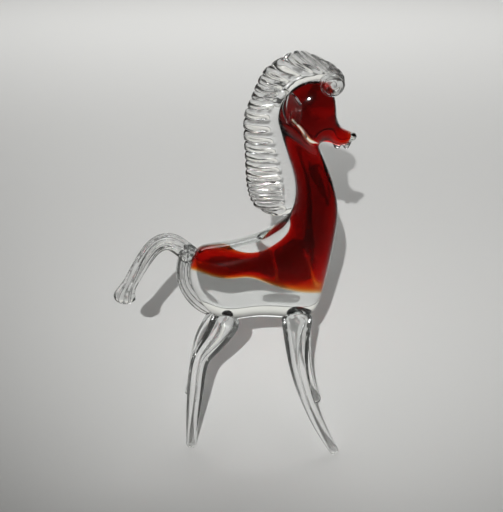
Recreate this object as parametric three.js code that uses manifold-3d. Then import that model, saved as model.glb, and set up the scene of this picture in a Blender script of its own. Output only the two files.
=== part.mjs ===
// A hot-worked glass horse: a ruby core cased in clear glass, with the mane, forelock, ears,
// tail and legs applied to it as separate clear gathers.
// Millimetres, +Z up. The horse faces +X, its left side is +Y, and it stands on z = 0.
import * as THREE from 'three';
import { mergeVertices } from 'three/addons/utils/BufferGeometryUtils.js';
import Module from 'manifold-3d';

const wasm = await Module();
wasm.setup();

// Body, neck and head
const bellyHeight = 95;
const bodyLength = 105;
const bodyDepth = 60;
const bodyWidth = 39;
const neckRise = 96;
const neckWidth = 25;
const pollSetback = 39;
const headLength = 59;
const headHeight = 55;
const headWidth = 30;

// Clear wall between the ruby core and the outside
const bellyWall = 33;
const backWall = 17;
const flankWall = 8.5;
const neckWall = 2.2;
const headWall = 1.8;
const rumpHole = 8;

// Applied pieces
const maneThickness = 12;
const ribDepth = 1.7;
const ribSmoothShare = 0.3;
const tailReach = 52;
const tailDrop = 46;
const tailThickness = 11;
const stripThickness = 11;
const stripWidth = 14;
const forelockWidth = 20;
const forelockThickness = 16;
const earLength = 22;
const earWidth = 11.5;
const earThickness = 6;
const earLean = 0.14;
const earFlare = 0.16;
const legDepth = 17;
const legFlatness = 0.88;
const soleWidth = 7;

const jointGap = 0.3;
const rootSink = 3;

// Landmarks that the pieces share
const rumpX = -36;
const chestX = rumpX + bodyLength;
const croupZ = bellyHeight + bodyDepth;
const pollX = chestX - pollSetback;
const pollZ = croupZ + neckRise;

// Places on the body, neck and head, as shares of their sizes
const onBody = (along, up) => new THREE.Vector3(rumpX + along * bodyLength, 0, bellyHeight + up * bodyDepth);
const onNeck = (fromChest, up) => new THREE.Vector3(chestX + fromChest, 0, croupZ + up * neckRise);
const onHead = (along, up) => new THREE.Vector3(pollX + along * headLength, 0, pollZ + up * headHeight);

// Surfaces

// A closed surface through rings of equally many points, from a start pole to an end pole
function skin(start, rings, end) {
  const count = rings[0].length;
  const points = [...rings.flat(), start, end];
  const firstPole = points.length - 2;
  const lastPole = points.length - 1;
  const lastRow = (rings.length - 1) * count;
  const faces = [];
  for (let i = 0; i < count; i++) {
    const j = (i + 1) % count;
    faces.push(firstPole, j, i, lastPole, lastRow + i, lastRow + j);
    for (let row = 0; row < lastRow; row += count) {
      faces.push(row + i, row + j, row + count + j, row + i, row + count + j, row + count + i);
    }
  }
  const geometry = new THREE.BufferGeometry().setFromPoints(points);
  geometry.setIndex(faces);
  return geometry;
}

// A closed curve round a centre: an ellipse of half axes u and v, squarer as power grows past 2.
function section(centre, u, v, power, count) {
  return Array.from({ length: count }, (_, i) => {
    const angle = (2 * Math.PI * i) / count;
    const bend = (value) => Math.sign(value) * Math.abs(value) ** (2 / power);
    return centre.clone().addScaledVector(u, bend(Math.cos(angle))).addScaledVector(v, bend(Math.sin(angle)));
  });
}

// Where the rings of a round end stand, as shares of its radius
const capSteps = [0.12, 0.45];

// A curve through points that carry their half width in y
const through = (points) => new THREE.CatmullRomCurve3(points, false, 'centripetal');

// A surface between a back line and a front line in the x-z plane, with a half width at each station.
function between(stations, ringsPerStation, count, power) {
  const back = through(stations.map((s) => s.back.clone().setY(s.half)));
  const front = through(stations.map((s) => s.front.clone().setY(s.half)));
  const total = (stations.length - 1) * ringsPerStation;
  const rings = [];
  for (let i = 1; i < total; i++) {
    const b = back.getPoint(i / total);
    const f = front.getPoint(i / total);
    const centre = b.clone().add(f).multiplyScalar(0.5).setY(0);
    const u = b.clone().sub(f).multiplyScalar(0.5).setY(0);
    rings.push(section(centre, u, new THREE.Vector3(0, -Math.max(b.y, 0.1), 0), power, count));
  }
  const pole = ({ back, front }) => back.clone().lerp(front, 0.5);
  return skin(pole(stations[0]), rings, pole(stations.at(-1)));
}

// A rod along a path, with round ends. Each stop has a point, a half depth across the path in the
// plane of its bend, and a half width nearest to y. Lobes flute the rod lengthwise.
function rod(stops, { rings, count, lobes = 0, flute = 0 }) {
  const path = through(stops.map((s) => s.at));
  const sizes = through(stops.map((s) => new THREE.Vector3(s.deep, s.wide, 0)));
  const length = path.getLength();
  const capShare = ({ deep, wide }) => Math.min(deep, wide) / length;
  const firstCap = capShare(stops[0]);
  const lastCap = capShare(stops.at(-1));
  const places = [
    ...capSteps.map((step) => step * firstCap),
    ...Array.from({ length: rings }, (_, i) => firstCap + ((1 - firstCap - lastCap) * i) / (rings - 1)),
    ...capSteps.toReversed().map((step) => 1 - step * lastCap),
  ];
  const ringAt = (t) => {
    const along = path.getTangentAt(t);
    const wide = new THREE.Vector3(0, 1, 0).addScaledVector(along, -along.y).normalize();
    const deep = wide.clone().cross(along);
    const size = sizes.getPoint(path.getUtoTmapping(t));
    const cap = Math.min(1, t / firstCap, (1 - t) / lastCap);
    const round = Math.sqrt(1 - (1 - cap) ** 2);
    const spokes = section(
      new THREE.Vector3(), deep.multiplyScalar(size.x * round), wide.multiplyScalar(size.y * round), 2, count);
    const fluted = (p, k) => p.multiplyScalar(1 + flute * Math.cos((2 * Math.PI * lobes * k) / count));
    return spokes.map((p, k) => fluted(p, k).add(path.getPointAt(t)));
  };
  return skin(path.getPoint(0), places.map(ringAt), path.getPoint(1));
}

// The same closed surface, a distance further out along its normals
function grown(geometry, distance) {
  const copy = mergeVertices(geometry.clone());
  copy.computeVertexNormals();
  const normals = copy.getAttribute('normal');
  const positions = copy.getAttribute('position');
  for (let i = 0; i < positions.count; i++) {
    const moved = new THREE.Vector3().fromBufferAttribute(positions, i);
    moved.addScaledVector(new THREE.Vector3().fromBufferAttribute(normals, i), distance);
    positions.setXYZ(i, moved.x, moved.y, moved.z);
  }
  copy.deleteAttribute('normal');
  return copy;
}

// Solids for joining and cutting

function solid(geometry) {
  const bare = geometry.clone();
  bare.deleteAttribute('normal');
  bare.deleteAttribute('uv');
  const merged = mergeVertices(bare);
  return new wasm.Manifold(new wasm.Mesh({
    numProp: 3,
    vertProperties: new Float32Array(merged.getAttribute('position').array),
    triVerts: new Uint32Array(merged.getIndex().array),
  }));
}

function surface(body) {
  const mesh = body.getMesh();
  const geometry = new THREE.BufferGeometry();
  geometry.setAttribute('position', new THREE.BufferAttribute(mesh.vertProperties, 3));
  geometry.setIndex(new THREE.BufferAttribute(mesh.triVerts, 1));
  geometry.computeVertexNormals();
  return geometry;
}

// Casing: one gather from the rump along the back, up the neck, over the head to the muzzle.
// Each station has its back point, its front or lower point, and its half width in y.

const station = (back, front, width) => ({ back, front, half: width / 2 });
const rumpEnd = onBody(0, 0.62);
const muzzleEnd = onHead(1, -0.258);

const casingStations = [
  station(rumpEnd, rumpEnd, 0),
  station(onBody(0.005, 0.74), onBody(0.005, 0.5), 0.45 * bodyWidth),
  station(onBody(0.032, 0.85), onBody(0.043, 0.333), 0.74 * bodyWidth),
  station(onBody(0.077, 0.925), onBody(0.107, 0.15), 0.9 * bodyWidth),
  station(onBody(0.162, 0.955), onBody(0.194, 0.017), 0.98 * bodyWidth),
  station(onBody(0.286, 0.985), onBody(0.314, -0.02), bodyWidth),
  station(onBody(0.425, 1.05), onBody(0.457, 0.025), 0.98 * bodyWidth),
  station(onBody(0.533, 1.115), onBody(0.61, 0.025), bodyWidth),
  station(onBody(0.629, 1.23), onBody(0.762, 0), 1.04 * bodyWidth),
  station(onBody(0.7, 1.33), onBody(0.886, 0.017), 1.03 * bodyWidth),
  station(onBody(0.738, 1.43), onBody(0.952, 0.25), 0.97 * bodyWidth),
  station(onNeck(-25, 0.365), onNeck(-0.5, -0.25), 1.5 * neckWidth),
  station(onNeck(-24.7, 0.469), onNeck(3.6, -0.03), 1.41 * neckWidth),
  station(onNeck(-26.5, 0.568), onNeck(6.8, 0.188), 1.29 * neckWidth),
  station(onNeck(-30.5, 0.703), onNeck(6.6, 0.333), 1.12 * neckWidth),
  station(onNeck(-35, 0.844), onNeck(3, 0.49), 0.9 * neckWidth),
  station(onNeck(-38, 0.948), onNeck(-2, 0.625), 0.8 * neckWidth),
  station(onHead(0, 0), onHead(0.553, -0.462), 0.88 * headWidth),
  station(onHead(0.07, 0.29), onHead(0.525, -0.38), headWidth),
  station(onHead(0.29, 0.48), onHead(0.535, -0.336), headWidth),
  station(onHead(0.51, 0.527), onHead(0.56, -0.318), 0.94 * headWidth),
  station(onHead(0.65, 0.427), onHead(0.605, -0.318), 0.84 * headWidth),
  station(onHead(0.722, 0.236), onHead(0.66, -0.327), 0.7 * headWidth),
  station(onHead(0.73, 0.018), onHead(0.73, -0.355), 0.58 * headWidth),
  station(onHead(0.8, -0.145), onHead(0.8, -0.37), 0.52 * headWidth),
  station(onHead(0.9, -0.19), onHead(0.89, -0.33), 0.44 * headWidth),
  station(onHead(0.98, -0.218), onHead(0.965, -0.3), 0.34 * headWidth),
  station(muzzleEnd, muzzleEnd, 0),
];

// Two small nubs under the muzzle, drawn down from the casing: the lower lip and the chin
const nubStops = (along, up) => [
  { at: onHead(along - 0.03, up + 0.14), deep: 3.2, wide: 4 },
  { at: onHead(along, up), deep: 2.6, wide: 3.4 },
  { at: onHead(along + 0.01, up - 0.05), deep: 2.4, wide: 3 },
];
const nub = (along, up) => rod(nubStops(along, up), { rings: 4, count: 12 });

const casingPower = 2.25;
const bodySurface = between(casingStations, 2, 20, casingPower);
const lowerLip = nub(0.875, -0.4);
const chin = nub(0.735, -0.39);

function envelope(distance) {
  return [bodySurface, lowerLip, chin].map((part) => solid(grown(part, distance))).reduce((a, b) => a.add(b));
}
const outside = envelope(0);
const clearOfCasing = envelope(jointGap);

// Ruby core: the casing's stations moved in by the clear wall, from a neck that comes out at the rump.
// Walls are listed from the rump to the muzzle as back, front and side.

const coreWalls = [
  [0.18 * backWall, 0.58 * bellyWall, 1.2 * flankWall],
  [0.27 * backWall, 0.82 * bellyWall, 1.1 * flankWall],
  [0.42 * backWall, 0.95 * bellyWall, flankWall],
  [0.7 * backWall, 0.97 * bellyWall, flankWall],
  [0.95 * backWall, 0.97 * bellyWall, flankWall],
  [backWall, 0.8 * bellyWall, flankWall],
  [backWall, 0.7 * bellyWall, flankWall],
  [0.9 * backWall, 0.6 * bellyWall, flankWall],
  [0.75 * backWall, 0.2 * bellyWall, 0.8 * flankWall],
  [0.6 * backWall, headWall, 1.6 * neckWall],
  [0.5 * backWall, headWall, neckWall],
  [0.42 * backWall, headWall, neckWall],
  [0.34 * backWall, headWall, 0.8 * neckWall],
  [0.26 * backWall, headWall, headWall],
  ...Array(10).fill([headWall, headWall, headWall]),
];

function inset({ back, front, half }, [wallBack, wallFront, wallSide]) {
  const inward = front.clone().sub(back).normalize();
  return {
    back: back.clone().addScaledVector(inward, wallBack),
    front: front.clone().addScaledVector(inward, -wallFront),
    half: half - wallSide,
  };
}

const holeTop = onBody(0, 0.76);
const stub = (x) => ({
  back: holeTop.clone().add(new THREE.Vector3(x, 0, 0)),
  front: holeTop.clone().add(new THREE.Vector3(x, 0, -rumpHole)),
  half: rumpHole / 2,
});
const coreInsets = coreWalls.map((walls, i) => inset(casingStations[i + 2], walls));
const coreSurface = between([stub(-3), stub(-2), stub(1.5), ...coreInsets], 2, 16, casingPower);
const core = solid(coreSurface).intersect(outside);
const casing = outside.subtract(solid(grown(coreSurface, jointGap)));

// Mane: a comb from the withers over the poll to the brow. Each station starts at a place on the
// casing's back line, counted in stations, reaches out to the comb's edge, and has a rib number.

const maneStations = [
  { at: 9.4, reach: [-10, -2], thick: 0.5, rib: -1.9 },
  { at: 10.2, reach: [-27, -1.6], thick: 0.85, rib: -1 },
  { at: 10.8, reach: [-33.2, 0], thick: 0.95, rib: 0.3 },
  { at: 11.5, reach: [-36.8, 3.1], thick: 1, rib: 3.3 },
  { at: 13.35, reach: [-34.6, 0.7], thick: 1, rib: 6.3 },
  { at: 14.75, reach: [-29.6, 1.5], thick: 1, rib: 9 },
  { at: 16.8, reach: [-25.2, 0.7], thick: 1, rib: 10.9 },
  { at: 17.5, reach: [-23.6, 1], thick: 1, rib: 12.1 },
  { at: 17.9, reach: [-23, 1.8], thick: 1, rib: 13 },
  { at: 18.15, reach: [-23, 4.4], thick: 1, rib: 14 },
  { at: 18.5, reach: [-24, 7], thick: 1, rib: 15 },
  { at: 19.05, reach: [-26.6, 10.4], thick: 1, rib: 16 },
  { at: 20, reach: [-27, 16], thick: 1, rib: 17 },
  { at: 20.6, lift: [3, 3.4], reach: [-27, 19], thick: 1, rib: 18 },
  { at: 21, lift: [5.5, 6.2], reach: [-26.3, 19.8], thick: 1, rib: 19 },
  { at: 21, lift: [8, 5.5], reach: [-16.2, 16], thick: 0.95, rib: 20 },
  { at: 21, lift: [8.8, 4.7], reach: [-3.9, 9.5], thick: 0.85, rib: 21 },
  { at: 21, lift: [10.6, 3.3], reach: [-0.6, 5.1], thick: 0.6, rib: 22 },
];
const ringsPerRib = 4;
const maneCount = 14;
const manePower = 3;

function maneSurface() {
  const backLine = through(casingStations.map((s) => s.back));
  const roots = through(maneStations.map(({ at, lift = [0, 0] }) =>
    backLine.getPoint(at / (casingStations.length - 1)).add(new THREE.Vector3(lift[0], 0, lift[1]))));
  const reaches = through(maneStations.map(({ reach, thick }) => new THREE.Vector3(reach[0], thick, reach[1])));
  const ribs = maneStations.map((s) => s.rib);
  const rings = [];
  for (let rib = ribs[0]; rib <= ribs.at(-1); rib += 1 / ringsPerRib) {
    const next = Math.max(1, ribs.findIndex((value) => value > rib));
    const share = (rib - ribs[next - 1]) / (ribs[next] - ribs[next - 1]);
    const t = (next - 1 + share) / (ribs.length - 1);
    const reach = reaches.getPoint(t);
    const thick = reach.y * maneThickness / 2;
    reach.y = 0;
    const groove = (0.5 + 0.5 * Math.cos(2 * Math.PI * rib)) ** 1.5;
    const root = roots.getPoint(t).addScaledVector(reach.clone().normalize(), -rootSink);
    const tip = roots.getPoint(t).add(reach).addScaledVector(reach.clone().normalize(), -groove * ribDepth / 2);
    const u = tip.clone().sub(root).multiplyScalar(0.5);
    const centre = root.clone().add(u);
    const ring = section(centre, u, new THREE.Vector3(0, -thick, 0), manePower, maneCount);
    const depth = 2 * u.length();
    for (const p of ring) {
      const out = p.clone().setY(0).sub(root).length() / depth;
      p.y *= 1 - (groove * ribDepth * Math.min(1, Math.max(0, out - ribSmoothShare) * 4)) / thick;
    }
    rings.push(ring);
  }
  const middle = (ring) => ring[0].clone().lerp(ring[maneCount / 2], 0.5);
  return skin(middle(rings[0]), rings, middle(rings.at(-1)));
}

const maneSkin = maneSurface();
const mane = solid(maneSkin).subtract(clearOfCasing);
const clearOfMane = solid(grown(maneSkin, jointGap));

// Forelock: a short roll pressed on the brow under the mane's front end
const brow = (x, z) => casingStations[21].back.clone().add(new THREE.Vector3(x, 0, z));
const forelockStops = [
  { at: brow(-10, 3.6), deep: forelockThickness / 2, wide: 0.42 * forelockWidth },
  { at: brow(-2, 1.4), deep: forelockThickness / 2, wide: forelockWidth / 2 },
  { at: brow(9, -3), deep: 0.46 * forelockThickness, wide: 0.44 * forelockWidth },
];
const roll = solid(rod(forelockStops, { rings: 6, count: 16 }));
const forelock = roll.subtract(clearOfCasing).subtract(solid(grown(maneSkin, 2 * jointGap)));

// Ears: pressed leaves on the sides of the head, cupped on their outer faces
function ear(side, along, up) {
  const base = onHead(along, up).setY(side * 0.42 * headWidth);
  const tip = base.clone().add(new THREE.Vector3(-earLean * earLength, side * earFlare * earLength, earLength));
  const at = (share, out) => base.clone().lerp(tip, share).add(new THREE.Vector3(0, side * out, 0));
  const leaf = rod([
    { at: at(-0.12, 0), deep: 0.3 * earWidth, wide: 0.5 * earThickness },
    { at: at(0.3, 0), deep: 0.48 * earWidth, wide: 0.5 * earThickness },
    { at: at(0.62, 0), deep: 0.46 * earWidth, wide: 0.45 * earThickness },
    { at: at(1, 0), deep: 0.14 * earWidth, wide: 0.25 * earThickness },
  ], { rings: 8, count: 14 });
  const cup = rod([
    { at: at(0.1, 0.45 * earThickness), deep: 0.2 * earWidth, wide: 0.28 * earThickness },
    { at: at(0.45, 0.5 * earThickness), deep: 0.34 * earWidth, wide: 0.42 * earThickness },
    { at: at(0.85, 0.45 * earThickness), deep: 0.16 * earWidth, wide: 0.28 * earThickness },
  ], { rings: 5, count: 10 });
  return solid(leaf).subtract(solid(cup)).subtract(clearOfCasing).subtract(clearOfMane);
}

// Legs: a gather under the body, drawn down to a hoof. A leg's bends are shares of its run in x
// and of its height, and its half depths are shares of the leg's depth at the same places.

const joints = {
  hind: onBody(0.27, 0.02),
  fore: onBody(0.781, 0.07),
};
const profiles = {
  hind: [0.66, 0.65, 0.5, 0.39, 0.37, 0.35, 0.27, 0.22],
  fore: [0.71, 0.69, 0.58, 0.43, 0.36, 0.29, 0.245, 0.205],
};
const legs = [
  { name: 'leg_hind_right', kind: 'hind', side: -1, hoof: [-27.9, 40],
    bends: [[0.35, 0.83], [0.69, 0.72], [0.81, 0.61], [0.87, 0.45], [0.96, 0.2]] },
  { name: 'leg_hind_left', kind: 'hind', side: 1, hoof: [-34, 52],
    bends: [[0.33, 0.83], [0.56, 0.7], [0.69, 0.52], [0.77, 0.36], [0.87, 0.18]] },
  { name: 'leg_fore_right', kind: 'fore', side: -1, hoof: [30, 49],
    bends: [[0, 0.86], [0.02, 0.68], [0.12, 0.53], [0.28, 0.38], [0.55, 0.2]] },
  { name: 'leg_fore_left', kind: 'fore', side: 1, hoof: [20.5, 38],
    bends: [[0.12, 0.82], [0.25, 0.62], [0.36, 0.46], [0.5, 0.31], [0.72, 0.15]] },
];
const legInset = 11.5;
const legParting = 2;
const legTop = 5;
const soleDepth = 1.6;
const below = new THREE.BoxGeometry(4 * bodyLength, 4 * bodyLength, bellyHeight);
below.translate(0, 0, -bellyHeight / 2);
const ground = solid(below);

function leg({ kind, side, hoof, bends }) {
  const joint = joints[kind].clone().setY(side * legInset);
  const place = (along, up) => new THREE.Vector3(
    joint.x + along * hoof[0],
    side * (legInset + (hoof[1] - legInset) * (1 - up)),
    up * joint.z);
  const path = [
    joint.clone().add(new THREE.Vector3(0, 0, legTop)),
    joint,
    ...bends.map(([along, up]) => place(along, up)),
    place(1, 0).setZ(-soleDepth),
  ];
  const stops = path.map((at, i) => ({
    at,
    deep: profiles[kind][i] * legDepth,
    wide: Math.min(legFlatness * profiles[kind][i] * legDepth, legInset - legParting),
  }));
  stops.at(-1).deep = soleWidth / 2;
  stops.at(-1).wide = soleWidth / 2;
  const column = rod(stops, { rings: 16, count: 12, lobes: 3, flute: 0.05 });
  return solid(column).subtract(clearOfCasing).subtract(ground);
}

// Tail: a tooled strip dragged up the rump, then arched back and down to a curled end
const tailPoint = (out, down) => new THREE.Vector3(rumpX - out * tailReach, 0, croupZ - down * tailDrop);
const tailStops = [
  [-0.08, 0.3, 0.6], [0.06, 0.16, 0.58], [0.17, 0.06, 0.56], [0.29, 0, 0.54], [0.41, 0.02, 0.52],
  [0.52, 0.1, 0.52], [0.62, 0.24, 0.5], [0.73, 0.44, 0.49], [0.83, 0.64, 0.47], [0.91, 0.8, 0.46],
  [0.97, 0.95, 0.72], [0.99, 1.11, 0.7],
].map(([out, down, share]) => ({
  at: tailPoint(out, down),
  deep: share * tailThickness,
  wide: share * tailThickness,
}));
const stripStops = [[0.15, 0.03], [0.076, 0.14], [0.005, 0.28], [-0.043, 0.45], [-0.048, 0.62], [-0.03, 0.78], [0, 0.9]]
  .map(([along, up]) => ({ at: onBody(along, up), deep: stripThickness / 2, wide: stripWidth / 2 }));
stripStops[0].deep = 0.3 * stripThickness;
stripStops[0].wide = 0.3 * stripWidth;

function tail(neighbours) {
  const arch = rod(tailStops, { rings: 26, count: 12, lobes: 6, flute: 0.05 });
  const strip = rod(stripStops, { rings: 10, count: 12 });
  const joined = solid(arch).add(solid(strip)).subtract(clearOfCasing);
  return neighbours.reduce((body, other) => body.subtract(other), joined);
}

// The assembly

const clear = { color: 0xe8efec, roughness: 0.03, metalness: 0 };
const ruby = { color: 0x8a0f12, roughness: 0.03, metalness: 0 };

const horse = new THREE.Group();
function add(name, body, look) {
  const mesh = new THREE.Mesh(surface(body), new THREE.MeshStandardMaterial(look));
  mesh.name = name;
  horse.add(mesh);
}

add('clear_casing', casing, clear);
add('ruby_core', core, ruby);
add('mane', mane, clear);
add('forelock', forelock, clear);
add('ear_right', ear(-1, 0.2, 0), clear);
add('ear_left', ear(1, 0.08, 0), clear);
const legBodies = legs.map((spec) => leg(spec));
legBodies.forEach((body, i) => add(legs[i].name, body, clear));
const hindLegs = legBodies.filter((_, i) => legs[i].kind === 'hind');
add('tail', tail(hindLegs.map((body) => solid(grown(surface(body), jointGap)))), clear);

// The origin is under the middle of the horse's box
const box = new THREE.Box3().setFromObject(horse);
const middle = box.getCenter(new THREE.Vector3());
horse.position.set(-middle.x, -middle.y, -box.min.z);

export default horse;
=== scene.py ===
# %% [markdown]
# # A hot-worked glass horse, ruby cased in clear
#
# The real thing is made at the furnace. A gather of ruby glass is dipped in clear glass, drawn
# into a body, neck and head, and then more clear glass is laid on for the legs, the mane, the
# ears and the tail. Nearly all of its look comes from light bending through those thick walls,
# so the lesson is about shapes: every piece is a smooth closed surface worked out with numpy.

import bpy
import numpy as np
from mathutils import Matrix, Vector


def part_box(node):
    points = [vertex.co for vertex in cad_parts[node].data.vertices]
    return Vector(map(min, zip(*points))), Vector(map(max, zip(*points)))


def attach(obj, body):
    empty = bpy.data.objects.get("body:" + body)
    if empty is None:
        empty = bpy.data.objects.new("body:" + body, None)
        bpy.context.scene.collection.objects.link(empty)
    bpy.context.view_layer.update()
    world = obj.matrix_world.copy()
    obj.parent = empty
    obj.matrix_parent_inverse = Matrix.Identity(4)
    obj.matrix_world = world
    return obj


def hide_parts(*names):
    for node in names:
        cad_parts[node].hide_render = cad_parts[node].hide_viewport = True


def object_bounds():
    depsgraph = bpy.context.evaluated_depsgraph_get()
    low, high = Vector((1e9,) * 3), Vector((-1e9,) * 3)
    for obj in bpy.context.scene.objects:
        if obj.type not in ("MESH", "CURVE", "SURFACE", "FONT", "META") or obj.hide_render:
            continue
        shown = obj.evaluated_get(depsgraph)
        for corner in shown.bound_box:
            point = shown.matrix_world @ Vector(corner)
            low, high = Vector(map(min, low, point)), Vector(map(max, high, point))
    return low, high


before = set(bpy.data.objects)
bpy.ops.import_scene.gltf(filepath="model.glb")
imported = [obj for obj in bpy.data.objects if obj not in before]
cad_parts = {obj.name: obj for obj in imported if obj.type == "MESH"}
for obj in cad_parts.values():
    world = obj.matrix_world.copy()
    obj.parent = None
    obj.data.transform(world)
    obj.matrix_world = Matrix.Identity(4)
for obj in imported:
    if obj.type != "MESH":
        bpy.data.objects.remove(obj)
cad_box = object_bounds()
casing_low, casing_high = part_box("clear_casing")
print("CAD box", [round(v, 4) for corner in cad_box for v in corner])

# %% [markdown]
# ## Landmarks
#
# Sizes are in millimetres, as a glassworker would measure them, and places are shares of three
# lengths: the body's, the neck's and the head's. A place could be a plain coordinate instead, but
# then a longer body would leave its own legs behind. The casing's own box says where they start.

# %% Sizes and landmarks
MM = 0.001
BODY_LENGTH = 105
BODY_DEPTH = 60
BODY_WIDTH = 39
NECK_RISE = 96
NECK_WIDTH = 25
HEAD_LENGTH = 59
HEAD_HEIGHT = 55
HEAD_WIDTH = 30
POLL_SETBACK = 39
BELLY_SAG = 0.02

rump_x = casing_high.x / MM - HEAD_LENGTH - (BODY_LENGTH - POLL_SETBACK)
belly_z = casing_low.z / MM + BELLY_SAG * BODY_DEPTH
middle_y = (casing_low.y + casing_high.y) / 2 / MM
chest_x = rump_x + BODY_LENGTH
croup_z = belly_z + BODY_DEPTH
poll_x = chest_x - POLL_SETBACK
poll_z = croup_z + NECK_RISE
print(f"rump x {rump_x:.1f}, belly z {belly_z:.1f}, poll ({poll_x:.1f}, {poll_z:.1f}) mm")


def on_body(along, up):
    """Places at shares of the body's length from the rump and of its depth from the belly."""
    x = rump_x + np.multiply(along, BODY_LENGTH)
    return np.stack([x, belly_z + np.multiply(up, BODY_DEPTH)], -1)


def on_neck(from_chest, up):
    """Places at millimetres from the chest and shares of the neck's rise above the croup."""
    return np.stack([chest_x + np.asarray(from_chest, float), croup_z + np.multiply(up, NECK_RISE)], -1)


def on_head(along, up):
    """Places at shares of the head's length from the poll and of its height above it."""
    x = poll_x + np.multiply(along, HEAD_LENGTH)
    return np.stack([x, poll_z + np.multiply(up, HEAD_HEIGHT)], -1)


print("middle of the body", on_body(0.5, 0.5).round(1), "brow", on_head(0.65, 0.427).round(1))

# %% [markdown]
# ## Curves and skins
#
# Hot glass has no corners, because it was soft and its own surface tension rounded it. A box mesh
# with subdivision could give that, but its points are hard to place. So every line here is a
# curve through a few points that is then smoothed, and every piece is one skin: rings carried
# along such lines and closed at both ends.

# %% A smooth curve through rows of numbers
def curve(rows, per_step, smooth=0.4):
    """A centripetal Catmull-Rom curve through the rows, per_step samples between two rows, then
    averaged with a bell of width smooth, in rows. Both ends keep their place, because the
    samples beyond them are the ones inside turned about the end."""
    rows = np.asarray(rows, float)
    first, last = 2 * rows[:1] - rows[1:2], 2 * rows[-1:] - rows[-2:-1]
    p = np.vstack([first, rows, last])
    steps = np.maximum(np.linalg.norm(np.diff(p, axis=0), axis=1), 1e-4) ** 0.5
    p0, p1, p2, p3 = (p[i:len(p) - 3 + i, None] for i in range(4))
    d0, d1, d2 = (steps[i:len(steps) - 2 + i, None, None] for i in range(3))
    leave = ((p1 - p0) / d0 - (p2 - p0) / (d0 + d1) + (p2 - p1) / d1) * d1
    arrive = ((p2 - p1) / d1 - (p3 - p1) / (d1 + d2) + (p3 - p2) / d2) * d1
    t = (np.arange(per_step) / per_step)[None, :, None]
    a, b = 2 * p1 - 2 * p2 + leave + arrive, 3 * p2 - 3 * p1 - 2 * leave - arrive
    made = (a * t ** 3 + b * t ** 2 + leave * t + p1).reshape(-1, rows.shape[1])
    made = np.vstack([made, rows[-1:]])
    reach = int(3 * smooth * per_step)
    if reach < 1:
        return made
    before, after = 2 * made[0] - made[reach:0:-1], 2 * made[-1] - made[-2:-reach - 2:-1]
    bell = np.exp(-0.5 * (np.arange(-reach, reach + 1) / (smooth * per_step)) ** 2)
    wide = np.vstack([before, made, after])
    return np.stack([np.convolve(c, bell / bell.sum(), "valid") for c in wide.T], -1)


print("a corner, rounded:", curve([[0, 0], [1, 0], [1, 1]], 2).round(2).tolist())


# %% A ring, and a skin over rings
def around(count):
    """Angles of count points round a ring."""
    return np.arange(count) * 2 * np.pi / count


def ring_shape(angle, power):
    """Cosine and sine, each raised to 2/power with its sign kept: a circle that grows squarer
    as power passes 2."""
    c, s = np.cos(angle), np.sin(angle)
    return np.sign(c) * np.abs(c) ** (2 / power), np.sign(s) * np.abs(s) ** (2 / power)


def skin(name, rings):
    """A closed mesh over rings of equally many points, in millimetres, where y is measured from
    the horse's middle plane. Neighbouring rings are joined by quads, and each end ring by a fan to
    its own middle. The faces are turned round if the volume under them, a sixth of the sum of
    triple products, comes out negative."""
    rows, count, _ = rings.shape
    points = np.vstack([rings.reshape(-1, 3), rings[0].mean(0), rings[-1].mean(0)])
    points = (points + [0, middle_y, 0]) * MM
    i = np.arange(count)
    j = (i + 1) % count
    base = (np.arange(rows - 1) * count)[:, None]
    quads = np.stack([base + i, base + j, base + j + count, base + i + count], -1).reshape(-1, 4)
    head = np.stack([j, i, np.full(count, rows * count)], -1)
    end = (rows - 1) * count
    tail = np.stack([end + i, end + j, np.full(count, rows * count + 1)], -1)
    triangles = np.vstack([quads[:, [0, 1, 2]], quads[:, [0, 2, 3]], head, tail])
    a, b, c = (points[triangles[:, k]] for k in range(3))
    if np.einsum("ij,ij->i", a, np.cross(b, c)).sum() < 0:
        quads, head, tail = quads[:, ::-1], head[:, ::-1], tail[:, ::-1]
    mesh = bpy.data.meshes.new(name)
    mesh.from_pydata(points, [], quads.tolist() + head.tolist() + tail.tolist())
    mesh.polygons.foreach_set("use_smooth", np.ones(len(mesh.polygons), bool))
    return mesh


print("a ring at 45 degrees:", *(round(float(v), 3) for v in ring_shape(np.pi / 4, 2.5)))


# %% [markdown]
# ## Pieces and joints
#
# On the real horse one piece is pressed on another while both are soft, so they share a flat patch
# and no air lies between. A boolean could cut that patch, but it leaves slivers that glass shows.
# Here the points that lie inside the neighbour are pushed out to its surface instead, a hair's
# breadth away. Faces that span a neighbour, with no point inside it, still pass through it.

# %% A piece made from a mesh
def piece(name, mesh, nodes, finish):
    """An object at the origin that rides on the horse, stands for its CAD nodes and has a finish."""
    made = bpy.data.objects.new(name, mesh)
    bpy.context.scene.collection.objects.link(made)
    made.data.materials.append(finish)
    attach(made, "root")
    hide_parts(*nodes)
    print(f"{name}: {len(mesh.polygons)} faces")
    return made


def seat(made, neighbour, gap):
    """Presses the part of a piece that lies inside its neighbour out to the neighbour's surface,
    a gap away, as one gather flattens where it is laid on another."""
    press = made.modifiers.new("seat", "SHRINKWRAP")
    press.target = neighbour
    press.wrap_method = "NEAREST_SURFACEPOINT"
    press.wrap_mode = "OUTSIDE"
    press.offset = gap * MM
    shaped = bpy.data.meshes.new_from_object(made.evaluated_get(bpy.context.evaluated_depsgraph_get()))
    made.modifiers.clear()
    made.data = shaped


GAP = 0.06
print("gap between seated pieces", GAP, "mm")

# %% [markdown]
# ## Finishes
#
# Clear glass is a Principled shader that only transmits. Its surface is not perfect: tools leave
# shallow waves, so a soft noise drives a bump, and handling leaves faint dull patches. The waves
# could be real dents in the mesh, but a bump bends light as well and costs no faces.

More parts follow.
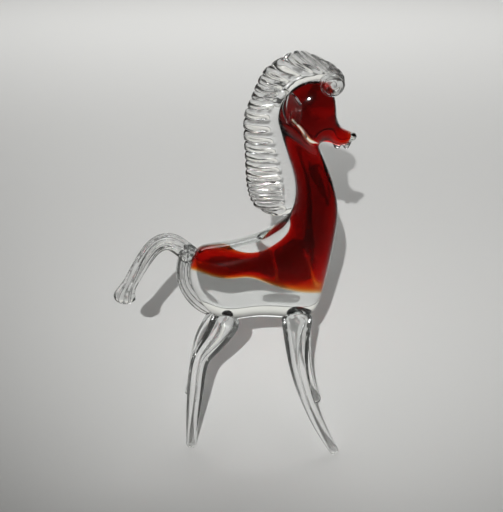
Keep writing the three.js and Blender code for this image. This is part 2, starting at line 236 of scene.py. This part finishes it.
# %% A small class for shader maths
class Wire:
    """An output socket that numbers and other wires can be added to, taken from or multiplied by."""

    def __init__(self, tree, socket):
        self.tree = tree
        self.socket = socket

    def node(self, kind, settings=None, **values):
        """Adds a node of a kind, with its settings first and then its sockets, which are named
        with _ for a space or numbered as i0, i1. The new wire is its first output."""
        made = self.tree.nodes.new(kind)
        for key, value in (settings or {}).items():
            setattr(made, key, value)
        for key, value in values.items():
            target = made.inputs[int(key[1:]) if key[1:].isdigit() else key.replace("_", " ")]
            if isinstance(value, Wire):
                self.tree.links.new(value.socket, target)
            else:
                target.default_value = value
        return Wire(self.tree, made.outputs[0])

    def math(self, operation, other):
        return self.node("ShaderNodeMath", {"operation": operation}, i0=self, i1=other)

    def __add__(self, other):
        return self.math("ADD", other)

    def __sub__(self, other):
        return self.math("SUBTRACT", other)

    def __rsub__(self, other):
        return self.node("ShaderNodeMath", {"operation": "SUBTRACT"}, i0=other, i1=self)

    def __mul__(self, other):
        return self.math("MULTIPLY", other)

    __radd__ = __add__
    __rmul__ = __mul__

    def above(self, edge):
        """What stands above an edge, and nothing below it."""
        return (self - edge).math("MAXIMUM", 0.0)


print(Wire.__doc__)


# %% Clear glass
POLISH = 0.05
GLASS_IOR = 1.5
CLEAR_TINT = (0.80, 0.88, 0.84, 1)
CLEAR_DENSITY = 6
WHITE = (1, 1, 1, 1)


def clear_glass(name, wave_mm, wave_depth_mm, dull):
    """Clear soda glass. wave_mm is the length of the tooled waves, wave_depth_mm their depth, and
    dull times what stands above 0.58 in a noise is added to the polish as roughness."""
    made = bpy.data.materials.new(name)
    made.use_nodes = True
    tree = made.node_tree
    shader = tree.nodes["Principled BSDF"]
    shader.inputs["Base Color"].default_value = WHITE
    shader.inputs["Transmission Weight"].default_value = 1
    shader.inputs["IOR"].default_value = GLASS_IOR
    place = Wire(tree, tree.nodes.new("ShaderNodeTexCoord").outputs["Object"])
    pitch = 1 / (wave_mm * MM)
    waves = place.node("ShaderNodeTexNoise", Vector=place, Scale=pitch, Detail=1.5, Roughness=0.4)
    hands = place.node("ShaderNodeTexNoise", Vector=place, Scale=90.0, Detail=3.0)
    tree.links.new((hands.above(0.58) * dull + POLISH).socket, shader.inputs["Roughness"])
    bump = place.node("ShaderNodeBump", Height=waves, Distance=wave_depth_mm * MM, Strength=1.0)
    tree.links.new(bump.socket, shader.inputs["Normal"])
    depth = tree.nodes.new("ShaderNodeVolumeAbsorption")
    depth.inputs["Color"].default_value = CLEAR_TINT
    depth.inputs["Density"].default_value = CLEAR_DENSITY
    tree.links.new(depth.outputs[0], tree.nodes["Material Output"].inputs["Volume"])
    return made


casing_finish = clear_glass("clear_casing_glass", wave_mm=24, wave_depth_mm=0.25, dull=0.02)
mane_finish = clear_glass("mane_glass", wave_mm=5, wave_depth_mm=0.12, dull=0.02)
leg_finish = clear_glass("leg_glass", wave_mm=9, wave_depth_mm=0.15, dull=0.02)
tail_finish = clear_glass("tail_glass", wave_mm=3.5, wave_depth_mm=0.45, dull=0.03)
small_finish = clear_glass("ear_glass", wave_mm=6, wave_depth_mm=0.1, dull=0.02)
roll_finish = clear_glass("forelock_glass", wave_mm=6, wave_depth_mm=0.1, dull=0.02)
clear_finishes = (casing_finish, mane_finish, leg_finish, tail_finish, small_finish, roll_finish)
print("clear finishes:", ", ".join(finish.name for finish in clear_finishes))

# %% [markdown]
# ## Ruby
#
# Ruby glass is red all through, by fine particles that grow while it is reheated. It has no surface
# of its own here, because it is fused to the clear around it, so it hardly bends light and absorbs:
# blue first, then green, and red last. A red surface colour would look the same at every
# thickness. Absorption makes it amber where it is thin and nearly black in the neck.

# %% Ruby glass
FUSED_IOR = 1.02
RUBY_TINT = (0.94, 0.55, 0.0, 1)
RUBY_DENSITY = 1300


def ruby_glass(name):
    """Ruby glass inside clear: hardly any bend at its boundary, and an absorption per metre of
    density times one minus the colour."""
    made = bpy.data.materials.new(name)
    made.use_nodes = True
    tree = made.node_tree
    shader = tree.nodes["Principled BSDF"]
    shader.inputs["Base Color"].default_value = WHITE
    shader.inputs["Transmission Weight"].default_value = 1
    shader.inputs["IOR"].default_value = FUSED_IOR
    shader.inputs["Roughness"].default_value = 0
    place = Wire(tree, tree.nodes.new("ShaderNodeTexCoord").outputs["Object"])
    cords = place.node("ShaderNodeTexNoise", Vector=place, Scale=70.0, Detail=2.0)
    bump = place.node("ShaderNodeBump", Height=cords, Distance=0.4 * MM, Strength=1.0)
    tree.links.new(bump.socket, shader.inputs["Normal"])
    depth = tree.nodes.new("ShaderNodeVolumeAbsorption")
    depth.inputs["Color"].default_value = RUBY_TINT
    depth.inputs["Density"].default_value = RUBY_DENSITY
    tree.links.new(depth.outputs[0], tree.nodes["Material Output"].inputs["Volume"])
    return made


ruby_finish = ruby_glass("ruby_core_glass")
absorbed = [round(RUBY_DENSITY * (1 - share)) for share in RUBY_TINT[:3]]
print("ruby absorbs per metre, red green blue", absorbed)

# %% [markdown]
# ## Casing
#
# The casing is one gather from the rump to the muzzle. It could be carved from a ball with sculpt
# tools, but a formula can be read and changed. Twenty-eight sections describe it: each has a point
# on the back, a point on the belly side, and a width. The back line, the belly line and the width
# become three smooth curves, and a ring is hung between them at every step.

# %% The casing's sections
BODY_ROWS = np.array([  # back along, back up, belly along, belly up, width share
    [0, 0.62, 0, 0.62, 0],
    [0.005, 0.74, 0.005, 0.5, 0.45],
    [0.032, 0.85, 0.043, 0.333, 0.74],
    [0.077, 0.925, 0.107, 0.15, 0.9],
    [0.162, 0.955, 0.194, 0.017, 0.98],
    [0.286, 0.985, 0.314, -0.02, 1],
    [0.425, 1.05, 0.457, 0.025, 0.98],
    [0.533, 1.115, 0.61, 0.025, 1],
    [0.629, 1.23, 0.762, 0, 1.04],
    [0.7, 1.33, 0.886, 0.017, 1.03],
    [0.738, 1.43, 0.952, 0.25, 0.97],
])
NECK_ROWS = np.array([
    [-25, 0.365, -0.5, -0.25, 1.5],
    [-24.7, 0.469, 3.6, -0.03, 1.41],
    [-26.5, 0.568, 6.8, 0.188, 1.29],
    [-30.5, 0.703, 6.6, 0.333, 1.12],
    [-35, 0.844, 3, 0.49, 0.9],
    [-38, 0.948, -2, 0.625, 0.8],
])
HEAD_ROWS = np.array([
    [0, 0, 0.553, -0.462, 0.88],
    [0.07, 0.29, 0.525, -0.38, 1],
    [0.29, 0.48, 0.535, -0.336, 1],
    [0.51, 0.527, 0.56, -0.318, 0.94],
    [0.65, 0.427, 0.605, -0.318, 0.84],
    [0.722, 0.236, 0.66, -0.327, 0.7],
    [0.73, 0.018, 0.73, -0.355, 0.58],
    [0.8, -0.145, 0.8, -0.37, 0.52],
    [0.9, -0.19, 0.89, -0.33, 0.44],
    [0.98, -0.218, 0.965, -0.3, 0.34],
    [0.995, -0.258, 0.995, -0.258, 0],
])


def sections(rows, place, width):
    """Back x and z, belly x and z, and half width, in millimetres, from rows of shares."""
    back, belly = place(rows[:, 0], rows[:, 1]), place(rows[:, 2], rows[:, 3])
    return np.hstack([back, belly, rows[:, 4:] * width / 2])


stations = np.vstack([
    sections(BODY_ROWS, on_body, BODY_WIDTH),
    sections(NECK_ROWS, on_neck, NECK_WIDTH),
    sections(HEAD_ROWS, on_head, HEAD_WIDTH),
])
print("sections", len(stations))


# %% Rings between a back line and a belly line
def hang_rings(rows, count, powers, per_step=14, wedge=0.0):
    """Rings whose centre is halfway between the back and belly lines, with one half axis to the
    back line and the other the half width in y. There is one power for the back half of a ring and
    one for the belly half. A wedge, one number or one per row, thins the belly side: the width is
    multiplied by the height share in the ring to the wedge's power."""
    wedge = curve(np.broadcast_to(wedge, len(rows))[:, None], per_step)
    back = curve(rows[:, [0, 1]], per_step)
    belly = curve(rows[:, [2, 3]], per_step)
    half = curve(rows[:, 4:], per_step)[:, 0]
    c, s = ring_shape(around(count), np.where(np.cos(around(count)) > 0, *powers))
    centre, arm = (back + belly) / 2, (back - belly) / 2
    x = centre[:, :1] + arm[:, :1] * c
    z = centre[:, 1:] + arm[:, 1:] * c
    y = np.maximum(half, 0)[:, None] * s * ((1 + c) / 2) ** np.maximum(wedge, 0) * 2 ** (0.5 * wedge)
    return np.stack([x, y, z], -1)[1:-1]


casing_rings = hang_rings(stations, count=128, powers=(2.5, 3.4))
print("casing rings", casing_rings.shape)


# %% The casing with its two nubs
def draw_down(rings, along, up, depth, radius):
    """Pulls a small nub of glass down from the underside: points near a place sink by depth times
    a flat-topped bell of their distance from it in x and y, faded out above the place."""
    spot = on_head(along, up)
    r2 = (rings[..., 0] - spot[0]) ** 2 + rings[..., 1] ** 2
    under = 1 / (1 + np.exp((rings[..., 2] - spot[1] - 3) * 1.5))
    made = rings.copy()
    made[..., 2] -= depth * np.exp(-(r2 / radius ** 2) ** 1.6) * under
    return made


casing_rings = draw_down(casing_rings, 0.875, -0.34, depth=5, radius=3)
casing_rings = draw_down(casing_rings, 0.745, -0.36, depth=4, radius=3)
casing_mesh = skin("casing", casing_rings)
casing = piece("casing", casing_mesh, ["clear_casing"], casing_finish)

# %% [markdown]
# ## Ruby core
#
# The core is the first gather, and the casing was dipped over it, so it follows the casing's
# sections, moved in by the clear wall: thick under the belly, thin on the head. A shrunken copy of
# the casing would have the same wall everywhere. Where the jaw was folded on the throat and where
# tools nipped the glass, the core is pinched thin, and light comes through as a bright streak.

# %% The core's walls and surface
BELLY_WALL = 33
BACK_WALL = 17
FLANK_WALL = 8.5
NECK_WALL = 2.2
HEAD_WALL = 1.8

walls = np.array([  # back, belly and side, in millimetres
    [0.18 * BACK_WALL, 0.58 * BELLY_WALL, 1.2 * FLANK_WALL],
    [0.27 * BACK_WALL, 0.82 * BELLY_WALL, 1.1 * FLANK_WALL],
    [0.42 * BACK_WALL, 0.95 * BELLY_WALL, FLANK_WALL],
    [0.7 * BACK_WALL, 0.97 * BELLY_WALL, FLANK_WALL],
    [0.95 * BACK_WALL, 0.97 * BELLY_WALL, FLANK_WALL],
    [BACK_WALL, 0.8 * BELLY_WALL, FLANK_WALL],
    [BACK_WALL, 0.7 * BELLY_WALL, FLANK_WALL],
    [0.9 * BACK_WALL, 0.6 * BELLY_WALL, FLANK_WALL],
    [0.75 * BACK_WALL, 0.2 * BELLY_WALL, 0.8 * FLANK_WALL],
    [0.6 * BACK_WALL, HEAD_WALL, 1.6 * NECK_WALL],
    [0.5 * BACK_WALL, HEAD_WALL, NECK_WALL],
    [0.42 * BACK_WALL, HEAD_WALL, NECK_WALL],
    [0.34 * BACK_WALL, HEAD_WALL, 0.8 * NECK_WALL],
    [0.26 * BACK_WALL, HEAD_WALL, HEAD_WALL],
] + [[2.6 * HEAD_WALL, HEAD_WALL, 0.6 * HEAD_WALL]] * 4
  + [[0.6 * HEAD_WALL, HEAD_WALL, 0.6 * HEAD_WALL]] * 2
  + [[HEAD_WALL] * 3] * 4)


def inset(rows, walls):
    """Sections moved in: the back point towards the belly point, the belly point towards the back
    point, and the width by the side wall."""
    back, belly = rows[:, :2], rows[:, 2:4]
    inward = (belly - back) / np.linalg.norm(belly - back, axis=1, keepdims=True)
    back = back + inward * walls[:, :1]
    belly = belly - inward * walls[:, 1:2]
    return np.hstack([back, belly, rows[:, 4:] - walls[:, 2:]])


def tipped(row, shift):
    """A section shrunk to the point halfway between its back and belly, moved along x by a shift."""
    middle = (row[:, :2] + row[:, 2:4]) / 2 + [shift, 0]
    return np.hstack([middle, middle, [[0]]])


CORE_SKIP = 2
core_rows = inset(stations[CORE_SKIP:CORE_SKIP + len(walls)], walls)
core_rows = np.vstack([tipped(core_rows[:1], -2.2), core_rows, tipped(core_rows[-1:], 1)])
thin = np.interp(np.arange(len(core_rows)), [0, 8, 12], [0.9, 0.7, 0])
core_rings = hang_rings(core_rows, 144, (2.2, 2.2), per_step=20, wedge=thin)
print("core rings", core_rings.shape)


# %% Creases in the core
def crease(rings, line, width, share, power=2):
    """Pinches rings along a line drawn in x and z: y is multiplied by one less a share of a bell
    of the distance to the line's nearest point. A power above 2 gives the bell a flat top."""
    spots = curve(line, 12)
    flat = rings[..., [0, 2]][..., None, :] - spots
    near = np.sqrt((flat ** 2).sum(-1).min(-1))
    made = rings.copy()
    made[..., 1] *= 1 - share * np.exp(-(near / width) ** power)
    return made


JAW_LINE = on_head([0.2, 0.25, 0.32, 0.4, 0.53], [0, -0.06, -0.14, -0.27, -0.38])
STREAKS = (  # line, width in millimetres, share
    (on_body([0.07, 0.12, 0.18, 0.25, 0.31], [0.89, 0.86, 0.82, 0.82, 0.88]), 2.2, 0.6),
    (on_body([0.03, 0.11, 0.19, 0.27], [0.74, 0.73, 0.7, 0.68]), 2, 0.5),
    (on_body([0.85, 0.87, 0.9], [0.86, 0.68, 0.47]), 2.2, 0.6),
    (on_body([0.61, 0.63, 0.64], [0.79, 0.68, 0.55]), 1.6, 0.6),
    (on_body([1.02, 1.01, 0.985, 0.95], [1.73, 1.3, 0.94, 0.68]), 4, 0.35),
    (on_head([0.42, 0.5, 0.6], [0.08, 0.1, 0.09]), 1.4, 0.6),
    (on_head([0.5, 0.6, 0.66], [0.0, 0.02, 0.1]), 1.4, 0.4),
)
core_rings = crease(core_rings, JAW_LINE, width=1.5, share=1.0, power=4)
for line, width, share in STREAKS:
    core_rings = crease(core_rings, line, width, share)
core_mesh = skin("ruby_core_fill", core_rings)
piece("ruby_core_fill", core_mesh, ["ruby_core"], ruby_finish)

# %% [markdown]
# ## Mane
#
# The mane is a comb of clear glass laid from the withers over the poll to the brow and squeezed
# with a toothed tool, which leaves a rib between every two grooves. Each rib could be its own
# sausage, but then light would meet a wall between any two. Here one comb section is carried along
# a root line on the casing's back, and a wave pinches it once per rib.

# %% The mane's sections
MANE_THICKNESS = 12
RIB_DEPTH = 4.8
RIB_SWAY = 0.3
ROOT_SINK = 3
MANE_ROWS = np.array([  # place on the back line in sections, lift x and z, reach x and z, thickness, rib
    [9.4, 0, 0, -10, -2, 0.5, -1.9],
    [10.2, 0, 0, -27, -1.6, 0.85, -1],
    [10.8, 0, 0, -33.2, 0, 0.95, 0.3],
    [11.5, 0, 0, -36.8, 3.1, 1, 3.3],
    [13.35, 0, 0, -34.6, 0.7, 1, 6.3],
    [14.75, 0, 0, -29.6, 1.5, 1, 9],
    [16.8, 0, 0, -25.2, 0.7, 1, 10.9],
    [17.5, 0, 0, -23.6, 1, 1, 12.1],
    [17.9, 0, 0, -23, 1.8, 1, 13.1],
    [18.15, 0, 0, -23, 4.4, 1, 14.2],
    [18.5, 0, 0, -24, 7, 1, 15.3],
    [19.05, 0, 0, -26.6, 10.4, 1, 16.5],
    [20, 0, 0, -27, 16, 1, 17.7],
    [20.6, 3, 3.4, -27, 19, 1, 18.9],
    [21, 5.5, 6.2, -26.3, 19.8, 1, 20.2],
    [21, 8, 5.5, -16.2, 16, 0.95, 21.5],
    [21, 8.8, 4.7, -3.9, 9.5, 0.85, 22.8],
    [21, 10.6, 3.3, -0.6, 5.1, 0.6, 24],
])


def mane_rings(count=72, per_step=24):
    """Squarish rings between a root sunk in the casing and the comb's edge. The groove is one less
    the size of the sine of pi times the rib number, swayed a little on the way out. It draws the
    edge in and pinches the sides from 0.3 of the reach outwards."""
    fine = 40
    back_line = curve(stations[:, :2], fine, smooth=0.4)
    spot = np.clip(np.round(MANE_ROWS[:, 0] * fine).astype(int), 0, len(back_line) - 1)
    roots = back_line[spot] + MANE_ROWS[:, 1:3]
    steps = curve(np.hstack([roots, MANE_ROWS[:, 3:]]), per_step, smooth=0.35)
    root, reach, thick, rib = steps[:, :2], steps[:, 2:4], steps[:, 4], steps[:, 5]
    length = np.linalg.norm(reach, axis=1, keepdims=True)
    way = reach / length
    c, s = ring_shape(around(count), 2.8)
    out = (1 + c) / 2
    groove = 1 - np.abs(np.sin(np.pi * (rib[:, None] + RIB_SWAY * np.sin(np.pi * out ** 2))))
    start = root - way * ROOT_SINK
    tip = root + reach - way * (groove.min(1) * RIB_DEPTH / 2)[:, None]
    centre, arm = (start + tip) / 2, (tip - start) / 2
    half = thick * MANE_THICKNESS / 2
    pinch = groove * RIB_DEPTH * np.clip((out - 0.3) * 3, 0, 1)
    x = centre[:, :1] + arm[:, :1] * c
    z = centre[:, 1:] + arm[:, 1:] * c
    y = (half[:, None] - pinch) * s
    return np.stack([x, y, z], -1)


mane = piece("mane_comb", skin("mane_comb", mane_rings()), ["mane"], mane_finish)
seat(mane, casing, GAP)


# %% [markdown]
# ## Rods: legs and tail
#
# A leg is a bit of hot glass touched to the belly and drawn down until it is thin. The tail is
# drawn the same way, back and down, and curled at its end. A bevelled curve would do for a plain
# rod, but drawing leaves lengthwise flutes, so both are a fluted section carried along a curve.

# %% A fluted rod along a path
def rod_rings(path, deep, wide, count, flutes=0, flute=0.0, turn=0.0, per_step=14):
    """Rings square to a path, with a half depth in the plane of its bend and a half width nearest
    to y. The radius is multiplied by one plus flute times the cosine of flutes times the angle,
    and the flutes turn by an angle from end to end. Both ends are rounded as a quarter circle."""
    rows = curve(np.column_stack([path, deep, wide]), per_step)
    way = np.gradient(rows[:, :3], axis=0)
    step = np.linalg.norm(way, axis=1)
    way /= step[:, None]
    run = np.concatenate([[0], np.cumsum((step[1:] + step[:-1]) / 2)])
    across = np.array([0, 1.0, 0]) - way * way[:, 1:2]
    across /= np.linalg.norm(across, axis=1, keepdims=True)
    up = np.cross(across, way)
    reach = np.minimum(rows[:, 3], rows[:, 4])
    cap = np.minimum(1, np.minimum(run / reach[0], (run[-1] - run) / reach[-1]))
    rounding = np.sqrt(np.maximum(1 - (1 - cap) ** 2, 0))
    angle = around(count)[None, :] + turn * (run / run[-1])[:, None]
    ridge = 1 + flute * np.cos(flutes * angle)
    size = (rounding[:, None] * ridge)[..., None]
    c, s = np.cos(around(count)), np.sin(around(count))
    deep_part = rows[:, None, 3:4] * c[None, :, None] * up[:, None]
    wide_part = rows[:, None, 4:5] * s[None, :, None] * across[:, None]
    return (rows[:, None, :3] + (deep_part + wide_part) * size)[1:-1]


straight = rod_rings([[0, 0, 0], [0, 0, 10], [0, 0, 20]], [3] * 3, [3] * 3, count=8)
print("a trial rod, rings and widest reach:", len(straight), straight[..., :2].max().round(2))

# %% [markdown]
# ### Legs
#
# The four legs are drawn one after another, so no two are alike: each has its own hoof and its own
# bends, as shares of its run and of the joint's height. The hind legs share one taper and the fore
# legs another. One leg copied and turned would be quicker, and would look machine-made.

# %% Legs
LEG_DEPTH = 17
LEG_FLATNESS = 0.88
LEG_INSET = 11.5
LEG_PARTING = 2
LEG_TOP = 5
SOLE_WIDTH = 7
PROFILES = {
    "hind": [0.66, 0.65, 0.5, 0.39, 0.37, 0.35, 0.27, 0.22],
    "fore": [0.71, 0.69, 0.58, 0.43, 0.36, 0.29, 0.245, 0.205],
}
FLUTES = {"hind": 0.09, "fore": 0.05}
JOINTS = {"hind": on_body(0.27, 0.02), "fore": on_body(0.781, 0.07)}
LEGS = {  # kind, side, hoof x from the joint and y from the middle, bends along the run and up the height
    "leg_hind_right": (
        "hind", -1, -27.9, 40, [[0.35, 0.83], [0.69, 0.72], [0.81, 0.61], [0.87, 0.45], [0.96, 0.2]]),
    "leg_hind_left": (
        "hind", 1, -34, 52, [[0.33, 0.83], [0.56, 0.7], [0.69, 0.52], [0.77, 0.36], [0.87, 0.18]]),
    "leg_fore_right": (
        "fore", -1, 30, 49, [[0, 0.86], [0.02, 0.68], [0.12, 0.53], [0.28, 0.38], [0.55, 0.2]]),
    "leg_fore_left": (
        "fore", 1, 20.5, 38, [[0.12, 0.82], [0.25, 0.62], [0.36, 0.46], [0.5, 0.31], [0.72, 0.15]]),
}


def leg_rings(kind, side, hoof_x, hoof_y, bends):
    """A rod from just inside the belly, through the bends, to the hoof on the ground."""
    joint = JOINTS[kind]
    shares = np.array([[0, 1]] + bends + [[1, 0]])
    x = joint[0] + shares[:, 0] * hoof_x
    y = side * (LEG_INSET + (hoof_y - LEG_INSET) * (1 - shares[:, 1]))
    z = shares[:, 1] * joint[1]
    path = np.column_stack([x, y, z])
    path = np.vstack([path[0] + [0, 0, LEG_TOP], path])
    deep = np.array(PROFILES[kind]) * LEG_DEPTH
    wide = np.minimum(LEG_FLATNESS * deep, LEG_INSET - LEG_PARTING)
    deep[-1] = wide[-1] = SOLE_WIDTH / 2
    rings = rod_rings(path, deep, wide, 96, flutes=4, flute=FLUTES[kind], turn=0.5 * side, per_step=22)
    rings[..., 2] = np.maximum(rings[..., 2], 0)
    return rings


for name, spec in LEGS.items():
    leg_mesh = skin(name + "_rod", leg_rings(*spec))
    leg = piece(name + "_rod", leg_mesh, [name], leg_finish)
    seat(leg, casing, GAP)

# %% [markdown]
# ### Tail
#
# The tail starts as a strip dragged up the rump with a tool, and goes on as an arch that is pulled
# out, bent over and curled. The strip is wide and flat where the arch is round, so they are two
# rods, and the root of the arch is buried in the top of the strip.

# %% Tail
TAIL_REACH = 52
TAIL_DROP = 46
TAIL_THICKNESS = 11
STRIP_THICKNESS = 11
STRIP_WIDTH = 14
TAIL_ROWS = np.array([  # out, down, thickness share
    [-0.08, 0.3, 0.6], [0.06, 0.16, 0.58], [0.17, 0.06, 0.56], [0.29, 0, 0.54], [0.41, 0.02, 0.52],
    [0.52, 0.1, 0.52], [0.62, 0.24, 0.5], [0.73, 0.44, 0.49], [0.83, 0.64, 0.47], [0.91, 0.8, 0.46],
    [0.97, 0.95, 0.72], [0.99, 1.11, 0.7],
])
STRIP_ROWS = np.array([  # along and up the body
    [0.15, 0.03], [0.076, 0.14], [0.005, 0.28], [-0.043, 0.45], [-0.048, 0.62], [-0.03, 0.78], [0, 0.9],
])

tail_path = np.column_stack([rump_x - TAIL_REACH * TAIL_ROWS[:, 0], 0 * TAIL_ROWS[:, 0],
                             croup_z - TAIL_DROP * TAIL_ROWS[:, 1]])
tail_half = TAIL_ROWS[:, 2] * TAIL_THICKNESS
arch = rod_rings(tail_path, tail_half, tail_half, count=84, flutes=7, flute=0.15, turn=1.2)
tail = piece("tail_arch", skin("tail_arch", arch), ["tail"], tail_finish)
seat(tail, casing, GAP)

strip_xz = on_body(STRIP_ROWS[:, 0], STRIP_ROWS[:, 1])
strip_path = np.column_stack([strip_xz[:, 0], 0 * strip_xz[:, 0], strip_xz[:, 1]])
taper = np.array([0.6, 1, 1, 1, 1, 1, 1])
strip_deep, strip_wide = taper * STRIP_THICKNESS / 2, taper * STRIP_WIDTH / 2
strip_rings = rod_rings(strip_path, strip_deep, strip_wide, count=84, flutes=6, flute=0.1, turn=0.6)
strip = piece("tail_strip", skin("tail_strip", strip_rings), ["tail"], tail_finish)
seat(strip, casing, GAP)
seat(strip, tail, GAP)

# %% [markdown]
# ## Forelock
#
# The forelock is a strap of hot glass rolled up on the brow. A spiral sheet would be truest, but
# its layers fuse while it is soft, so this is one solid roll whose end faces keep a spiral mark and
# a raised lip. It is wider at its back, which bends light so that the ruby shows in it. Only its
# ends are seated: the barrel between them has no points, and runs through the brow and the mane.

# %% Forelock
FORELOCK_WIDTH = 23
FORELOCK_RADIUS = 9.4
SPIRAL_DEPTH = 1.1
LIP_HEIGHT = 1.3
ROLL_TAPER = 0.3
ROLL_SHIFT = [0.9, 1.5]
brow = stations[21, :2]


def roll_rings(centre, across, up, width, count=80, steps=28):
    """A roll with its axis along y. Its end faces bulge like a lens inside a raised lip, and a wave
    of the angle plus a turn and a half of the distance from the middle cuts a spiral in them. The
    roll is wider at its back than at its front, by a taper either way."""
    share = np.linspace(0.05, 1, steps)[:, None]
    angle = around(count)[None, :]
    lip = LIP_HEIGHT * np.exp(-((share - 0.84) / 0.09) ** 2)
    bulge = width / 2 * (0.45 + 0.55 * np.sqrt(1 - share ** 2.5)) + lip
    spiral = SPIRAL_DEPTH * np.cos(angle - 3 * np.pi * share) * share * (1 - share ** 6)
    x = centre[0] + across * share * np.cos(angle)
    z = centre[1] + up * share * np.sin(angle)
    half = (bulge + spiral) * (1 - ROLL_TAPER * share * np.cos(angle))
    near = np.stack([x, -half, z], -1)
    far = np.stack([x, half, z], -1)[::-1]
    return np.vstack([near, far])


lock = roll_rings(brow + ROLL_SHIFT, FORELOCK_RADIUS, 0.93 * FORELOCK_RADIUS, FORELOCK_WIDTH)
forelock = piece("forelock_roll", skin("forelock_roll", lock), ["forelock"], roll_finish)
seat(forelock, casing, GAP)
seat(forelock, mane, GAP)

# %% [markdown]
# ## Ears
#
# Each ear is a drop of glass pressed on the side of the head with the tip of a tool, which hollows
# its outer face. Taking a second rod away would do it, but a formula that pushes the middle of the
# outer face in keeps one smooth skin.

# %% Ears
EAR_LENGTH = 22
EAR_WIDTH = 15
EAR_THICKNESS = 7.5
EAR_LEAN = 0.14
EAR_FLARE = 0.16
EAR_BASE = 0.48
CUP_SHARE = 1.35
CUP_WIDTH = 0.62


def ear_rings(side, along, up):
    """A leaf-shaped rod up the side of the head. What stands out from its middle on the outer side
    is taken back by the cup share, times a flat-topped bell of the place across the leaf."""
    base_xz = on_head(along, up)
    base = np.array([base_xz[0], side * EAR_BASE * HEAD_WIDTH, base_xz[1]])
    tip = base + [-EAR_LEAN * EAR_LENGTH, side * EAR_FLARE * EAR_LENGTH, EAR_LENGTH]
    share = np.array([-0.12, 0.3, 0.62, 1])[:, None]
    path = base + (tip - base) * share
    rings = rod_rings(path, np.array([0.3, 0.48, 0.46, 0.14]) * EAR_WIDTH,
                      np.array([0.5, 0.5, 0.45, 0.25]) * EAR_THICKNESS, count=56, per_step=24)
    centre = rings.mean(1, keepdims=True)
    spoke = rings - centre
    outward = np.clip(spoke[..., 1] * side, 0, None)
    wide = np.abs(spoke[..., 0]) / np.abs(spoke[..., 0]).max(1, keepdims=True)
    hollow = np.exp(-(wide / CUP_WIDTH) ** 6)
    rings[..., 1] -= side * outward * hollow * CUP_SHARE
    return rings


for name, side, along, up in (("ear_right", -1, 0.2, 0), ("ear_left", 1, 0.08, 0)):
    ear_mesh = skin(name + "_leaf", ear_rings(side, along, up))
    ear = piece(name + "_leaf", ear_mesh, [name], small_finish)
    seat(ear, casing, GAP)
    seat(ear, mane, GAP)

# %% [markdown]
# ## Floor, lamps, sky and camera
#
# Clear glass shows only what is round it: bright places give it its whites and dark places its
# outlines. An even white room would make it vanish. So there is a pale matt floor, a sky that is
# bright behind the horse and dim overhead, and one small lamp above the camera, which makes the
# crisp shadow. A broad, weak lamp lights the floor behind.

# %% Floor
bpy.ops.mesh.primitive_circle_add(vertices=96, radius=7, fill_type="NGON")
floor = bpy.context.object
floor.name = "floor"
paper = bpy.data.materials.new("pale_paper")
paper.use_nodes = True
paper_shader = paper.node_tree.nodes["Principled BSDF"]
paper_shader.inputs["Base Color"].default_value = (0.66, 0.66, 0.645, 1)
paper_shader.inputs["Roughness"].default_value = 0.8
floor.data.materials.append(paper)
print("floor", [round(v, 1) for v in floor.dimensions], "m")


# %% Lamps
def lamp(name, kind, place, aim, power, **settings):
    """A lamp of a kind at a place, turned to shine at an aim."""
    data = bpy.data.lights.new(name, kind)
    data.energy = power
    for key, value in settings.items():
        setattr(data, key, value)
    made = bpy.data.objects.new(name, data)
    made.location = place
    made.rotation_mode = "QUATERNION"
    made.rotation_quaternion = (Vector(aim) - Vector(place)).to_track_quat("-Z", "Y")
    bpy.context.scene.collection.objects.link(made)
    print(f"{name}: {power} W at {place}")
    return made


lamp("key", "SPOT", (-0.069, -1.452, 0.788), (0.16, 1.0, 0.15), 240, shadow_soft_size=0.005,
     spot_size=np.radians(42), spot_blend=1)
lamp("backdrop_light", "AREA", (0, 2.9, 2.2), (0, 1.9, 0), 20, shape="RECTANGLE", size=3.0, size_y=1.6,
     spread=np.radians(76))


# %% Sky
DIM = 0.045
PALE = 0.75


def sky():
    """A surround that is pale where a backdrop would stand and dim overhead and behind the camera:
    a smooth step, from dim to pale, of how far a direction leans towards +Y, less 0.6 of how
    steeply it climbs."""
    world = bpy.data.worlds.new("studio")
    bpy.context.scene.world = world
    world.use_nodes = True
    tree = world.node_tree
    way = Wire(tree, tree.nodes.new("ShaderNodeTexCoord").outputs["Generated"])
    parts = tree.nodes.new("ShaderNodeSeparateXYZ")
    tree.links.new(way.socket, parts.inputs[0])
    y, z = Wire(tree, parts.outputs[1]), Wire(tree, parts.outputs[2])
    lean = y - z * 0.6
    smooth = {"interpolation_type": "SMOOTHSTEP"}
    ramp = lean.node("ShaderNodeMapRange", smooth, i0=lean, i1=0.5, i2=0.98, i3=DIM, i4=PALE)
    background = tree.nodes["Background"]
    background.inputs["Color"].default_value = (1, 0.99, 0.93, 1)
    tree.links.new(ramp.socket, background.inputs["Strength"])


sky()
print("sky from", DIM, "to", PALE)

# %% Camera
DISTANCE = 0.9
ELEVATION = np.radians(20)
LENS = 82.97
AIM_SHIFT = Vector((13.9, -1, -7.2)) * MM

low, high = cad_box
target = (low + high) / 2 + AIM_SHIFT
camera_data = bpy.data.cameras.new("camera")
camera_data.lens = LENS
camera = bpy.data.objects.new("camera", camera_data)
camera.location = target + DISTANCE * Vector((0, -np.cos(ELEVATION), np.sin(ELEVATION)))
camera.rotation_euler = (np.pi / 2 - ELEVATION, 0, 0)
bpy.context.scene.collection.objects.link(camera)
bpy.context.scene.camera = camera
bpy.context.scene.view_settings.view_transform = "Standard"
bpy.context.scene.cycles.max_bounces = 24
bpy.context.scene.cycles.transmission_bounces = 24
print("camera at", [round(v, 3) for v in camera.location])
